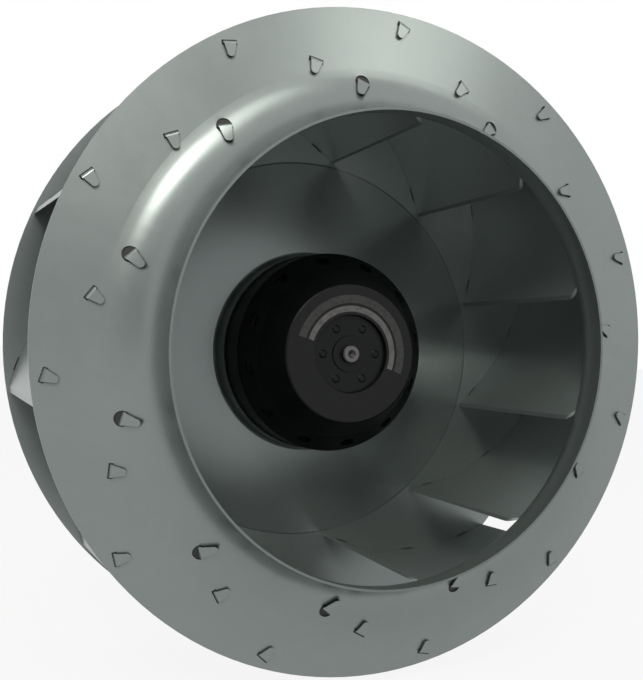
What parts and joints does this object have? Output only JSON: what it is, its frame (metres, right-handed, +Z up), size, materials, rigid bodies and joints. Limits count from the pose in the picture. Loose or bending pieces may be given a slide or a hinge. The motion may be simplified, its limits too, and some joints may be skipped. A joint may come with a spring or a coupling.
{
  "type": "plug fan",
  "caption": "Backward-curved centrifugal plug fan: galvanised impeller with tab-locked blades turning on a black external-rotor motor with a flat mounting flange.",
  "frame": {"origin": "centre of the motor flange's rear mounting face, on the fan axis", "axes": "+Y along the fan axis out of the mounting face, so the inlet faces -Y; +Z up; +X to the right seen from the inlet"},
  "size_m": [0.2876, 0.1396, 0.2876],
  "materials": {
    "galvanised_sheet": "matt galvanised sheet",
    "rotor_black": "satin black coat",
    "lamination": "stacked electrical sheet",
    "cast_aluminium": "die cast",
    "bright_steel": "ground",
    "label_film": "bare dark label film",
    "winding_copper": "varnished copper wire",
    "insulator_plastic": "moulded",
    "grommet_rubber": "moulded"
  },
  "bodies": {
    "stator": {"stator_flange": "cast_aluminium", "stator_core": "lamination", "stator_winding": "winding_copper", "insulator_front": "insulator_plastic", "insulator_rear": "insulator_plastic", "bearing_front_outer": "bright_steel", "bearing_rear_outer": "bright_steel", "preload_spring": "bright_steel", "rear_cap": "bright_steel", "cable_grommet": "grommet_rubber"},
    "wheel": {"inlet_shroud": "galvanised_sheet", "back_plate": "galvanised_sheet", "rotor_can": "rotor_black", "rotor_core": "lamination", "rotor_hub": "rotor_black", "label_ring": "label_film", "shaft": "bright_steel", "shaft_clip": "bright_steel", "bearing_front_inner": "bright_steel", "bearing_rear_inner": "bright_steel", "bearing_front_balls": "bright_steel", "bearing_rear_balls": "bright_steel", "blade_01": "galvanised_sheet", "blade_02": "galvanised_sheet", "blade_03": "galvanised_sheet", "blade_04": "galvanised_sheet", "blade_05": "galvanised_sheet", "blade_06": "galvanised_sheet", "blade_07": "galvanised_sheet", "blade_08": "galvanised_sheet", "blade_09": "galvanised_sheet", "blade_10": "galvanised_sheet", "blade_11": "galvanised_sheet"}
  },
  "joints": [
    {"name": "wheel_spin", "type": "hinge", "parent": "stator", "child": "wheel", "pos_m": [0, 0, 0], "axis": [0, 1, 0], "continuous": true}
  ]
}
